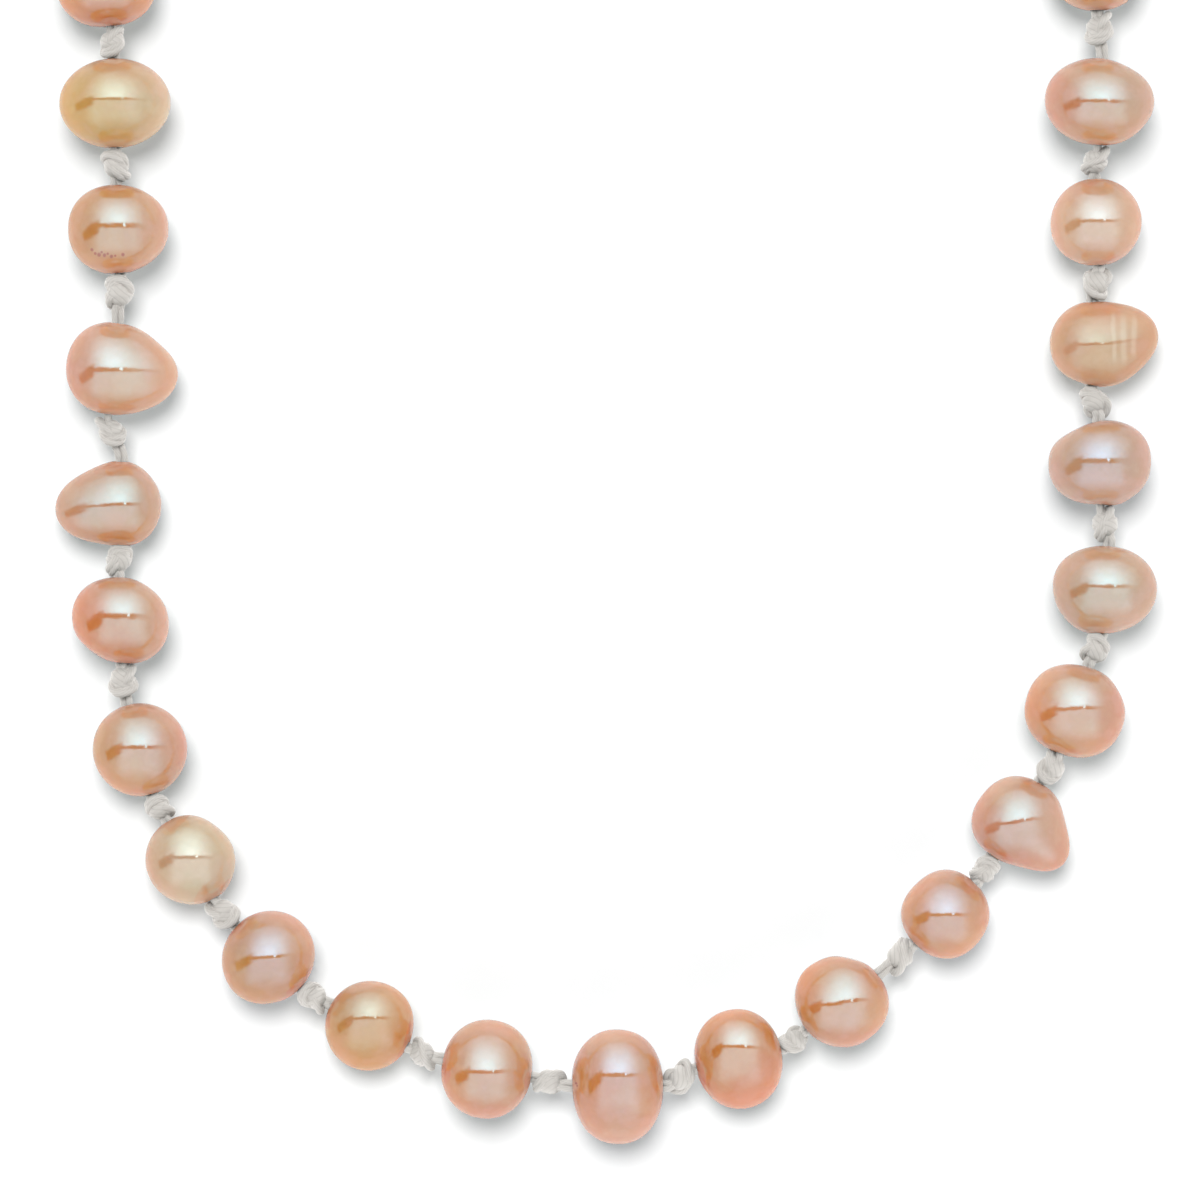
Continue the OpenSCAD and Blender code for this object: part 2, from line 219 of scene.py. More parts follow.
def nacre(slot, rough=0.09, coat=0.25, coat_rough=0.05, glow=(0.34, 0.84, 0.98), pits=(), lines=()):
    """Nacre; pits are (x, y, radius) and growth lines (x, low y, high y, half width), in mm in the layout, on top."""
    m = bpy.data.materials.new(slot)
    m.use_nodes = True
    n = Nodes(m.node_tree)
    where = n.add("ShaderNodeTexCoord").outputs["Object"]
    tone = n.add("ShaderNodeAttribute", attribute_name="tone").outputs["Color"]
    cloud = n.add("ShaderNodeTexNoise", {"Vector": where, "Scale": 420.0, "Detail": 3.0, "Roughness": 0.55}).outputs["Fac"]
    fine = n.add("ShaderNodeTexNoise", {"Vector": where, "Scale": 2600.0, "Detail": 2.0, "Roughness": 0.6}).outputs["Fac"]
    pink = n.mix(n.ramp(cloud, 0.42, 0.66, 0.0, 0.10), tone, (0.86, 0.55, 0.56))
    pale = n.mix(n.ramp(cloud, 0.56, 0.34, 0.0, 0.08), pink, (0.83, 0.80, 0.66))
    grain = n.mix(n.ramp(fine, 0.3, 0.7, 0.0, 0.05), pale, (0.45, 0.28, 0.20), "MULTIPLY")
    marks = None
    if pits or lines:
        xyz = n.add("ShaderNodeSeparateXYZ", {0: where})
        bend = n.math("MULTIPLY", n.math("SUBTRACT", cloud, 0.5), 0.0004)
    for x, y, r in pits:
        dx = n.math("SUBTRACT", n.math("ADD", xyz.outputs[0], bend), (x + SHIFT[0]) * MM)
        dy = n.math("SUBTRACT", xyz.outputs[1], (y + SHIFT[1]) * MM)
        d2 = n.math("ADD", n.math("MULTIPLY", dx, dx), n.math("MULTIPLY", dy, dy))
        one = n.ramp(n.math("SQRT", d2), 0.4 * r * MM, 1.2 * r * MM, 1.0, 0.0)
        marks = one if marks is None else n.math("MAXIMUM", marks, one)
    for x, lo_y, hi_y, w in lines:
        dx = n.math("ABSOLUTE", n.math("SUBTRACT", n.math("ADD", xyz.outputs[0], bend), (x + SHIFT[0]) * MM))
        one = n.ramp(dx, 0.2 * w * MM, 1.3 * w * MM, 0.38, 0.0)
        ends = n.math("MULTIPLY",
                      n.ramp(xyz.outputs[1], (lo_y + SHIFT[1] - 0.4) * MM, (lo_y + SHIFT[1] + 0.4) * MM),
                      n.ramp(xyz.outputs[1], (hi_y + SHIFT[1] - 0.4) * MM, (hi_y + SHIFT[1] + 0.4) * MM, 1.0, 0.0))
        one = n.math("MULTIPLY", one, ends)
        marks = one if marks is None else n.math("MAXIMUM", marks, one)
    if marks is not None:
        above = n.ramp(xyz.outputs[2], 0.003, 0.0034)
        marks = n.math("MULTIPLY", marks, above)
        grain = n.mix(n.math("MULTIPLY", marks, 0.85), grain, (0.30, 0.035, 0.010) if pits else (0.60, 0.47, 0.36))
    # light that bounces off a pearl onto its neighbours and the floor is close to neutral
    bounced = n.add("ShaderNodeLightPath").outputs["Is Diffuse Ray"]
    grain = n.mix(bounced, grain, (0.27, 0.24, 0.215))
    peel = n.add("ShaderNodeTexNoise", {"Vector": where, "Scale": 1500.0, "Detail": 1.5, "Roughness": 0.5}).outputs["Fac"]
    bump = n.add("ShaderNodeBump", {"Height": peel, "Strength": 0.22, "Distance": 0.00006})
    s = n.add("ShaderNodeBsdfPrincipled", {
        "Base Color": grain, "Metallic": 0.0, "Roughness": rough, "IOR": 2.3,
        "Subsurface Weight": 0.6, "Subsurface Radius": (1.0, 0.6, 0.4), "Subsurface Scale": 0.0015,
        "Specular Tint": (*glow, 1.0), "Coat Weight": coat, "Coat Roughness": coat_rough, "Coat IOR": 1.5,
        "Normal": bump.outputs["Normal"],
    })
    out = n.add("ShaderNodeOutputMaterial")
    m.node_tree.links.new(s.outputs[0], out.inputs["Surface"])
    return m


def silk_material():
    m = bpy.data.materials.new("silk_thread")
    m.use_nodes = True
    n = Nodes(m.node_tree)
    along = n.add("ShaderNodeUVMap", uv_map="along").outputs["UV"]
    parts = n.add("ShaderNodeSeparateXYZ", {0: along})
    # fine filaments that twist round each strand: u runs round it, v along it in mm
    lay = n.math("ADD", n.math("MULTIPLY", parts.outputs[0], 9.0), n.math("MULTIPLY", parts.outputs[1], 2.4))
    fil = n.math("ABSOLUTE", n.math("SINE", n.math("MULTIPLY", lay, math.pi)))
    where = n.add("ShaderNodeTexCoord").outputs["Object"]
    fuzz = n.add("ShaderNodeTexNoise", {"Vector": where, "Scale": 5200.0, "Detail": 3.0, "Roughness": 0.65}).outputs["Fac"]
    blot = n.add("ShaderNodeTexNoise", {"Vector": where, "Scale": 900.0, "Detail": 2.0}).outputs["Fac"]
    # painted shade: the grooves between the filaments are darker in colour, as well as lower in the bump
    base = n.mix(n.ramp(fil, 0.0, 0.55, 0.0, 1.0), (0.395, 0.376, 0.352), (0.485, 0.463, 0.436))
    base = n.mix(n.ramp(blot, 0.35, 0.7, 0.0, 0.35), base, (0.43, 0.408, 0.38))
    high = n.math("ADD", n.math("MULTIPLY", fil, 0.7), n.math("MULTIPLY", fuzz, 0.6))
    bump = n.add("ShaderNodeBump", {"Height": high, "Strength": 0.55, "Distance": 0.00004})
    s = n.add("ShaderNodeBsdfPrincipled", {
        "Base Color": base, "Roughness": 0.55, "IOR": 1.45, "Specular IOR Level": 0.35,
        "Sheen Weight": 0.25, "Sheen Roughness": 0.5, "Sheen Tint": (1.0, 0.98, 0.95, 1.0),
        "Normal": bump.outputs["Normal"],
    })
    out = n.add("ShaderNodeOutputMaterial")
    m.node_tree.links.new(s.outputs[0], out.inputs["Surface"])
    return m


def metal(name, colour, rough, coat=0.0):
    m = bpy.data.materials.new(name)
    m.use_nodes = True
    n = Nodes(m.node_tree)
    where = n.add("ShaderNodeTexCoord").outputs["Object"]
    wear = n.add("ShaderNodeTexNoise", {"Vector": where, "Scale": 700.0, "Detail": 4.0}).outputs["Fac"]
    fine = n.add("ShaderNodeTexNoise", {"Vector": where, "Scale": 6000.0, "Detail": 2.0}).outputs["Fac"]
    base = n.mix(n.ramp(wear, 0.35, 0.7, 0.0, 0.3), colour, tuple(0.86 * c for c in colour))
    r = n.ramp(fine, 0.3, 0.7, rough * 0.8, rough * 1.25)
    bump = n.add("ShaderNodeBump", {"Height": fine, "Strength": 0.1, "Distance": 0.00001})
    s = n.add("ShaderNodeBsdfPrincipled", {
        "Base Color": base, "Metallic": 1.0, "Roughness": r, "Normal": bump.outputs["Normal"]})
    out = n.add("ShaderNodeOutputMaterial")
    m.node_tree.links.new(s.outputs[0], out.inputs["Surface"])
    return m


M = {
    "nacre_peach": nacre("nacre_peach"),
    "nacre_pink": nacre("nacre_pink"),
    "nacre_beige": nacre("nacre_beige"),
    "nacre_cream": nacre("nacre_cream"),
    "silk": silk_material(),
    "gold": metal("gold", (0.83, 0.62, 0.32), 0.16),
    "spring_steel": metal("spring_steel", (0.60, 0.60, 0.58), 0.3),
}

# ---------------------------------------------------------------- pearls
# per visible pearl: squareness, bumps [direction from the thread's heading, height in mm, width in degrees],
# where the top lies off the middle (share of the radius, x and y), and its slot
LOOKS = {
    "centre": (2.2, [(150, .12, 30), (80, -.08, 20)], (0.0, 0.21), "nacre_peach"),
    "left_01": (2.1, [(250, -.15, 80)], (-0.02, -0.05), "nacre_pink"),
    "left_02": (2.0, [(240, .1, 30)], (0.0, 0.18), "nacre_beige"),
    "left_03": (2.0, [(100, .1, 30)], (0.0, 0.0), "nacre_pink"),
    "left_04": (2.0, [(290, -.2, 30), (190, .1, 30)], (0.0, 0.04), "nacre_cream"),
    "left_05": (2.0, [(110, -.1, 60)], (0.0, 0.04), "nacre_pink"),
    "left_06": (2.3, [(130, -.35, 30), (210, .2, 40), (310, -.3, 30)], (0.05, 0.04), "nacre_peach"),
    "left_07": (2.0, [(100, 1.6, 40), (210, .15, 40), (310, -.1, 30)], (0.0, -0.05), "nacre_beige"),
    "left_08": (2.1, [(270, 1.3, 40), (300, -.2, 20), (30, .1, 40)], (0.0, -0.03), "nacre_pink"),
    "left_09": (2.2, [(220, -.2, 30), (320, -.15, 30)], (0.0, 0.03), "nacre_peach"),
    "left_10": (2.0, [(160, .05, 40)], (0.0, 0.03), "nacre_cream"),
    "left_11": (2.2, [], (0.0, 0.0), "nacre_peach"),
    "right_01": (2.1, [(190, -.07, 60)], (0.0, 0.25), "nacre_peach"),
    "right_02": (2.3, [(220, -.2, 30), (40, -.25, 20), (100, .15, 20), (150, -.1, 20)], (0.0, 0.0), "nacre_peach"),
    "right_03": (2.1, [(90, -.3, 40), (280, -.1, 30)], (0.0, -0.02), "nacre_beige"),
    "right_04": (2.2, [(260, 1.45, 30), (70, -.25, 60), (330, .1, 40)], (0.0, -0.05), "nacre_pink"),
    "right_05": (2.2, [(300, .15, 80), (310, -.15, 20)], (0.0, 0.04), "nacre_peach"),
    "right_06": (2.1, [(160, .2, 30), (230, -.1, 40), (70, .15, 30)], (0.0, 0.04), "nacre_beige"),
    "right_07": (2.3, [(40, -.45, 30), (200, .15, 20)], (0.0, 0.0), "nacre_pink"),
    "right_08": (2.0, [(280, 1.7, 40), (220, .35, 30), (160, -.1, 20)], (0.0, -0.05), "nacre_beige"),
    "right_09": (2.0, [(120, .1, 30)], (0.0, 0.0), "nacre_cream"),
    "right_10": (2.1, [(320, -.2, 30), (240, -.15, 20)], (0.0, -0.03), "nacre_pink"),
    "right_11": (2.0, [], (0.0, 0.0), "nacre_peach"),
}
# the strand's range of nacre tones, and who wears which: left, right, top and bottom as the pearl lies
SHADE = {
    "ember": (0.52, 0.135, 0.015), "apricot": (0.53, 0.165, 0.020), "peach": (0.52, 0.200, 0.055),
    "coral": (0.48, 0.170, 0.075), "rose": (0.49, 0.225, 0.110), "blush": (0.52, 0.250, 0.125),
    "tan": (0.44, 0.175, 0.030), "honey": (0.46, 0.225, 0.035), "beige": (0.43, 0.215, 0.110),
    "cream": (0.46, 0.300, 0.180),
}
WEARS = {
    "centre": "apricot apricot blush rose", "left_01": "apricot peach rose coral", "left_02": "tan peach beige tan",
    "left_03": "tan peach rose tan", "left_04": "beige cream cream cream", "left_05": "tan coral rose peach",
    "left_06": "ember rose rose ember", "left_07": "beige beige rose apricot", "left_08": "coral blush blush peach",
    "left_09": "tan rose peach apricot", "left_10": "honey cream blush honey", "left_11": "apricot peach apricot ember",
    "right_01": "apricot ember peach ember", "right_02": "apricot peach rose coral", "right_03": "peach peach rose peach",
    "right_04": "coral rose rose coral", "right_05": "apricot coral blush peach", "right_06": "beige beige blush blush",
    "right_07": "beige beige rose blush", "right_08": "beige beige blush blush", "right_09": "blush blush blush blush",
    "right_10": "coral beige blush peach", "right_11": "blush blush blush peach",
}
# tints of the reflections (orient): most are silvery with a breath of green, some golden, rosy or dull
ORIENT = {"pearly": (0.34, 0.84, 0.98), "golden": (0.40, 0.70, 0.68), "rosy": (0.29, 0.69, 0.98),
          "silver": (0.50, 0.87, 0.99), "dull": (0.20, 0.46, 0.44),
          "champagne": (0.56, 0.80, 0.78)}
# single marks in the nacre
MARKS = {
    "nacre_left_09": {"pits": [(-33.75, 23.25, .13), (-33.55, 23.0, .12), (-33.3, 22.92, .16), (-33.12, 23.08, .10),
                               (-32.92, 22.88, .15), (-32.7, 22.97, .10), (-32.45, 22.8, .13), (-32.2, 22.84, .09),
                               (-31.7, 22.92, .14)]},
    "nacre_right_08": {"lines": [(34.15, 15.9, 19.0, .18), (34.8, 15.8, 19.0, .25), (35.5, 16.2, 18.8, .22)]},
    "nacre_centre": {"pits": [(-1.62, -32.1, .10), (-1.55, -32.26, .08)]},
}
# strength per pearl of the orange patches about the holes: partly the nacre's own colour, partly painted reflection of
# the neighbouring pearls
HOLE_PATCH_AND_REFLECTION = {"nacre_left_01": 0.8, "nacre_left_02": 1.0, "nacre_left_03": 0.9, "nacre_left_04": 0.8,
           "nacre_right_01": 1.0, "nacre_right_02": 0.7, "nacre_centre": 0.4}
GLOWS = {"centre": "rosy", "left_02": "golden", "left_03": "rosy", "left_04": "champagne", "left_10": "golden",
         "right_03": "rosy", "right_07": "rosy", "right_08": "dull", "right_09": "silver"}
SLOTS = ("nacre_peach", "nacre_pink", "nacre_beige", "nacre_cream")


def smooth(x, a, b):
    t = np.clip((x - a) / (b - a), 0, 1)
    return t * t * (3 - 2 * t)


def lumps(u, rng, size, n=7):
    """Slow uneven swelling over the directions u."""
    out = np.zeros(u.shape[:-1])
    for _ in range(n):
        d = rng.normal(size=3)
        d /= np.linalg.norm(d)
        f = rng.uniform(1.5, 4.5)
        out += size / n ** 0.5 * rng.uniform(0.6, 1.2) * np.sin(f * (u @ d) + rng.uniform(0, 6.28))
    return out


def build_pearl(name, row, look, seed, rings, around, wears, orient):
    square, bumps, top, slot = look
    rng = np.random.RandomState(seed)
    a, b = row[4] / 2, row[3] / 2
    edge = BORE + 0.07
    t0 = math.asin(edge / a)
    theta = np.linspace(t0, math.pi - t0, rings)
    phi = np.linspace(0, 2 * math.pi, around, endpoint=False)
    ct, st = np.cos(theta)[:, None], np.sin(theta)[:, None]
    u = np.stack([-ct * np.ones_like(phi), st * np.cos(phi), st * np.sin(phi)], -1)
    r = (np.abs(ct / a) ** square + np.abs(st / b) ** square) ** (-1 / square) * np.ones_like(phi)
    for ang, high, wide in bumps:
        d = np.array([math.cos(rad(ang)), math.sin(rad(ang)), 0])
        delta = np.degrees(np.arccos(np.clip(u @ d, -1, 1)))
        r = r + high * np.exp(-(delta / wide) ** 2)
    fade = np.minimum(1, np.minimum(theta - t0, math.pi - t0 - theta) / 0.5)[:, None]
    r = r * (1 + lumps(u, rng, 0.006) * fade)
    p = u * r[..., None]
    # the top of a lopsided pearl lies off its middle
    h = heading(row[2])
    side = np.array([-h[1], h[0], 0])
    w = np.array([top[0], top[1], 0])
    p[..., 0] += (w @ h) * p[..., 2]
    p[..., 1] += (w @ side) * p[..., 2]
    # the drilled hole: a rounded edge, then the wall of the bore
    first, last = p[0], p[-1]
    rim = []
    for q, s in ((first, 1), (last, -1)):
        rr = np.hypot(q[:, 1], q[:, 2])
        ring = []
        for k in (1, 2, 3):
            f = rad(30 * k)
            rad_k = rr - (rr - BORE) * math.sin(f)
            x = q[:, 0] + s * (rr - BORE) * (1 - math.cos(f))
            ring.append(np.stack([x, q[:, 1] / rr * rad_k, q[:, 2] / rr * rad_k], -1))
        rim.append(ring)
    walls = [rim[1][2] * (1 - t) + rim[0][2] * t for t in (0.1, 0.3, 0.5, 0.7, 0.9)]
    all_rings = np.array([*p, *rim[1], *walls, *rim[0][::-1]])
    n = len(all_rings)
    flat = all_rings.reshape(-1, 3)
    world = mid(row) + flat[:, :1] * h + flat[:, 1:2] * side + flat[:, 2:] * np.array([0, 0, 1.0])
    # colour: two tones, deeper orange round the drilled holes: partly the nacre's own colour there, partly painted
    # reflection of the neighbouring pearls
    uu = flat / np.linalg.norm(flat, axis=1)[:, None]
    uw = uu[:, :1] * h + uu[:, 1:2] * side + uu[:, 2:] * np.array([0, 0, 1.0])
    drift = uw + 0.12 * np.stack([lumps(uu, rng, 1.0, 4), lumps(uu, rng, 1.0, 4), 0 * uw[:, 0]], -1)
    parts = np.array([(-1, 0, 0), (1, 0, 0), (0, 1, 0), (0, -1, 0)], float)
    share = np.clip(drift @ parts.T, 0, 1) ** 2 + 0.04
    col = (share / share.sum(1)[:, None]) @ np.array([SHADE[w] for w in wears.split()])
    off = np.hypot(flat[:, 1], flat[:, 2])
    hole_tint_and_reflection = (np.exp(-((off - BORE) / 0.6) ** 2) * 0.35)[:, None]
    col = col * (1 - hole_tint_and_reflection) + np.array(SHADE["ember"]) * hole_tint_and_reflection
    # ragged darker, deeper orange patches about the holes: partly the nacre's own colour, partly painted reflection of
    # the neighbouring pearls
    ragged = 0
    for f in (3.0, 5.5, 9.0, 15.0):
        q, s = rng.normal(size=3), rng.uniform(0, 6.28)
        ragged = ragged + np.sin(f * (uu @ (q / np.linalg.norm(q))) + s) / f ** 0.45
    hole_patch_and_reflection = smooth(1.55 + 0.62 * ragged - off, -0.07, 0.07) * HOLE_PATCH_AND_REFLECTION.get(name, float(rng.uniform(0.25, 0.6)))
    col = col * (1 - hole_patch_and_reflection[:, None] * np.array([-0.04, 0.24, 0.38]))
    # painted shade: the middle of the top is a little less red, to tone down the stronger light that falls on it
    col = col * (1 - smooth(uw[:, 2], 0.35, 0.85)[:, None] * np.array([0.10, 0.0, 0.0]))
    # painted shade: the walls of the drilled hole are half as bright
    inside = np.zeros(len(flat))
    inside[rings * around + around:] = 1
    col = col * (1 - 0.5 * inside[:, None])
    faces = grid_faces(n, around, closed_rings=True)
    if name in MARKS:
        mat = nacre(slot + "_" + name[6:], glow=ORIENT[orient], **MARKS[name])
    elif orient == "pearly":
        mat = M[slot]
    else:
        if slot + orient not in M:
            M[slot + orient] = nacre(slot + "_" + orient, glow=ORIENT[orient])
        mat = M[slot + orient]
    obj = new_object(name, world, faces, mat, colour=col)
    return obj


obj = build_pearl("nacre_centre", CENTRE, LOOKS["centre"], 7, 80, 112, WEARS["centre"], "rosy")
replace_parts(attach(obj, "pearl_centre"), "pearl_centre")
for s_i, side in enumerate(("left", "right")):
    for i in range(1, SIDE_N + 1):
        key = "%s_%02d" % (side, i)
        row = ROWS[side][i - 1]
        if key in LOOKS:
            look, res = LOOKS[key], (80, 112)
        else:
            rng = np.random.RandomState(300 + 50 * s_i + i)
            slot = SLOTS[(i * 2 + s_i + i // 3) % 4]
            bumps = [(int(rng.randint(0, 36)) * 10, round(float(rng.uniform(-.25, .2)), 2), int(rng.choice([30, 40, 60])))
                     for _ in range(2)]
            look = (2.1, bumps, (rng.uniform(-.06, .06), rng.uniform(-.05, .1)), slot)
            res = (48, 64)
            wears = list(WEARS.values())[(7 * i + 5 * s_i) % len(WEARS)]
            orient = ("pearly", "rosy", "pearly", "golden", "pearly", "silver")[(i + 2 * s_i) % 6]
        if key in LOOKS:
            wears, orient = WEARS[key], GLOWS.get(key, "pearly")
        obj = build_pearl("nacre_" + key, row, look, 100 + 40 * s_i + i, *res, wears, orient)
        body = body_name(side, i)
        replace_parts(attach(obj, body), body)

# ---------------------------------------------------------------- silk
# the middle line of a tight overhand knot, in cord diameters; its second half is the first, turned over
KNOT_HALF = [(-0.76, 0, 0), (-0.17, -0.49, -0.46), (0.55, -0.25, -1.0), (1.13, 0.45, -0.81),
             (1.16, 0.92, 0.0), (0.64, 0.70, 0.74)]
KNOT_LINE = np.array(KNOT_HALF + [(0, 0, 0.87)] + [(-x, -y, z) for x, y, z in KNOT_HALF[::-1]], float)
KNOT_REACH = 1.7


def curve(points, step):
    """A smooth line through the points, cut into even steps."""
    points = np.asarray(points, float)
    p = np.array([2 * points[0] - points[1], *points, 2 * points[-1] - points[-2]])
    t = np.linspace(0, 1, 12, endpoint=False)[:, None]
    out = []
    for i in range(1, len(p) - 2):
        a, b, c, d = p[i - 1], p[i], p[i + 1], p[i + 2]
        out.append(0.5 * (2 * b + (c - a) * t + (2 * a - 5 * b + 4 * c - d) * t ** 2 + (3 * b - a - 3 * c + d) * t ** 3))
    return even(np.concatenate([*out, p[-2:-1]]), step)


def even(line, step):
    run = np.concatenate([[0], np.cumsum(np.linalg.norm(np.diff(line, axis=0), axis=1))])
    at = np.linspace(0, run[-1], max(3, int(round(run[-1] / step)) + 1))
    return np.stack([np.interp(at, run, line[:, k]) for k in range(3)], -1)


def along(line):
    return np.concatenate([[0], np.cumsum(np.linalg.norm(np.diff(line, axis=0), axis=1))])


def frames(line, first=(0, 0, 1)):
    """Directions along a line and two across it that don't spin."""
    t = np.gradient(line, axis=0)
    t /= np.linalg.norm(t, axis=1)[:, None]
    n = np.zeros_like(t)
    v = np.cross(np.array(first, float), t[0])
    v /= np.linalg.norm(v)
    for i in range(len(t)):
        v = v - t[i] * (v @ t[i])
        v /= np.linalg.norm(v)
        n[i] = v
    return t, n, np.cross(t, n)


def tube(line, radius, sides=10, spin=0.0, flat=1.0):
    """Rings and faces of a round cord along a line, with its texture coordinates per face corner."""
    t, n, b = frames(line)
    r = np.broadcast_to(np.asarray(radius, float), (len(line),))
    a = np.linspace(0, 2 * math.pi, sides, endpoint=False) + spin
    pts = line[:, None] + r[:, None, None] * (np.cos(a)[:, None] * n[:, None] + flat * np.sin(a)[:, None] * b[:, None])
    faces = grid_faces(len(line), sides)
    run = along(line)
    uv = []
    for i in range(len(line) - 1):
        for j in range(sides):
            u0, u1 = j / sides, (j + 1) / sides
            uv += [(u0, run[i]), (u1, run[i]), (u1, run[i + 1]), (u0, run[i + 1])]
    last = (len(line) - 1) * sides
    faces += [tuple(range(sides))[::-1], tuple(range(last, last + sides))]
    uv += [(0.5, run[0])] * sides + [(0.5, run[-1])] * sides
    return pts.reshape(-1, 3), faces, uv


def join(parts):
    pts, faces, uv, n = [], [], [], 0
    for p, f, w in parts:
        pts.append(p)
        faces += [tuple(i + n for i in q) for q in f]
        uv += w
        n += len(p)
    return np.concatenate(pts), faces, uv


# per visible gap, named after its inner pearl: cord diameter in the knot, space left before the outer pearl,
# turn about the thread in degrees, mirrored or not, height of an ear and its place along the knot
KNOTS = {
    ("left", 0): (0.63, .06, 20, 1, 0, .5), ("left", 1): (0.63, .05, 200, -1, .14, .35),
    ("left", 2): (0.61, .05, 120, 1, 0, .5), ("left", 3): (0.65, .06, 300, -1, .12, .6),
    ("left", 4): (0.61, .05, 60, -1, 0, .5), ("left", 5): (0.65, .08, 240, 1, .10, .4),
    ("left", 6): (0.62, .05, 150, 1, 0, .5), ("left", 7): (0.61, .08, 330, -1, .12, .7),
    ("left", 8): (0.68, .05, 100, 1, .10, .5), ("left", 9): (0.65, .06, 30, -1, 0, .5),
    ("left", 10): (0.61, .05, 210, 1, 0, .5),
    ("right", 0): (0.63, .06, 70, 1, .10, .3), ("right", 1): (0.59, .05, 250, -1, 0, .5),
    ("right", 2): (0.67, .08, 10, 1, .14, .6), ("right", 3): (0.63, .05, 140, 1, 0, .5),
    ("right", 4): (0.62, .05, 320, -1, .10, .5), ("right", 5): (0.63, .05, 90, 1, 0, .5),
    ("right", 6): (0.65, .25, 180, -1, .12, .4), ("right", 7): (0.63, .05, 40, 1, 0, .5),
    ("right", 8): (0.64, .06, 280, 1, .08, .6), ("right", 9): (0.61, .05, 160, -1, .22, .5),
    ("right", 10): (0.67, .05, 220, 1, .10, .5),
}
STRAND = 0.225


def gap_route(row_a, row_b):
    """The thread's middle line from the middle of one bore to the middle of the next, and where it enters that pearl."""
    a, b, ha, hb = out_mouth(row_a), in_mouth(row_b), heading(row_a[2]), heading(row_b[2])
    reach = np.linalg.norm(b - a)
    t = np.linspace(0, 1, 40)[:, None]
    arc = ((2 * t ** 3 - 3 * t ** 2 + 1) * a + (t ** 3 - 2 * t ** 2 + t) * reach * ha
           + (3 * t ** 2 - 2 * t ** 3) * b + (t ** 3 - t ** 2) * reach * hb)
    line = np.concatenate([[mid(row_a)], [mid(row_a) * .5 + a * .5], arc, [mid(row_b) * .5 + b * .5], [mid(row_b)]])
    run = along(line)
    return line, run, run[2], run[-3]


def silk_gap(name, row_a, row_b, look, seed):
    d, space, turn, hand, ear, ear_at = look
    rng = np.random.RandomState(seed)
    line, run, s_a, s_b = gap_route(row_a, row_b)
    d = min(d, (s_b - s_a - space - 0.05) / (2 * KNOT_REACH))
    s_k = s_b - space - KNOT_REACH * d
    k = KNOT_LINE * (1, 1, hand) + rng.normal(size=KNOT_LINE.shape) * 0.035
    c, s = math.cos(rad(turn)), math.sin(rad(turn))
    k = np.stack([k[:, 0] + s_k / d, c * k[:, 1] - s * k[:, 2], s * k[:, 1] + c * k[:, 2]], -1) * d
    before = np.arange(0.0, k[0, 0] - 0.35 * d, 0.5)
    after = np.arange(run[-1], k[-1, 0] + 0.35 * d, -0.5)[::-1]
    wag = [0.05 * math.sin(2.1 * x + seed) for x in before]
    flat = np.concatenate([[(x, w, 0) for x, w in zip(before, wag)], k, [(x, 0, 0) for x in after]])
    flat = curve(flat, 0.085)
    # lay it along the route
    pos = np.stack([np.interp(flat[:, 0], run, line[:, j]) for j in range(3)], -1)
    fine = np.stack([np.interp(flat[:, 0] + 0.05, run, line[:, j]) for j in range(3)], -1)
    back = np.stack([np.interp(flat[:, 0] - 0.05, run, line[:, j]) for j in range(3)], -1)
    t = fine - back
    t /= np.linalg.norm(t, axis=1)[:, None]
    n = np.cross((0, 0, 1.0), t)
    n /= np.linalg.norm(n, axis=1)[:, None]
    cord = pos + n * flat[:, 1:2] + np.cross(t, n) * flat[:, 2:]
    cord[:, 2] = np.maximum(cord[:, 2], 0.4)
    # tight inside the knot, loose outside it
    tight = smooth(flat[:, 0], s_k - 2.0 * d, s_k - 1.2 * d) * (1 - smooth(flat[:, 0], s_k + 1.2 * d, s_k + 2.0 * d))
    where = np.linspace(0, 1, len(flat))
    _, u, v = frames(cord)
    out = along(cord)
    phase = 0.35 * np.sin(0.8 * out + seed) + 0.8 * np.concatenate([[0], np.cumsum(tight[1:] * np.diff(out))])
    radius = STRAND * (1 - tight) + 0.40 * d * tight
    off = 0.205 * (1 - tight) + 0.21 * d * tight
    bits = []
    in_knot = np.flatnonzero(tight > 0.9)
    e_mid = in_knot[int(len(in_knot) * ear_at)]
    lift = ear * np.exp(-((np.arange(len(flat)) - e_mid) / 5.0) ** 2)
    for k2, side_of in enumerate((1, -1)):
        o = off + (lift if k2 == 0 else 0)
        strand = cord + side_of * o[:, None] * (np.cos(phase)[:, None] * u + np.sin(phase)[:, None] * v)
        rough = 1 + 0.05 * np.sin(7.0 * out + 2 * k2 + seed) + 0.03 * np.sin(17.0 * out + seed)
        bits.append(tube(strand, radius * rough, 10, spin=k2))
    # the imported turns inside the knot
    x = np.linspace(-1.25, 1.25, 13)
    core = np.stack([np.interp(s_k + x * d, run, line[:, j]) for j in range(3)], -1)
    swell = 1.30 * d * np.sqrt(np.clip(1 - (x / 1.32) ** 2, 0.02, 1)) * (1 + 0.06 * rng.normal(size=len(x)))
    bits.append(tube(core, swell, 16))
    pts, faces, uv = join(bits)
    return new_object(name, pts, faces, M["silk"], uv=uv)


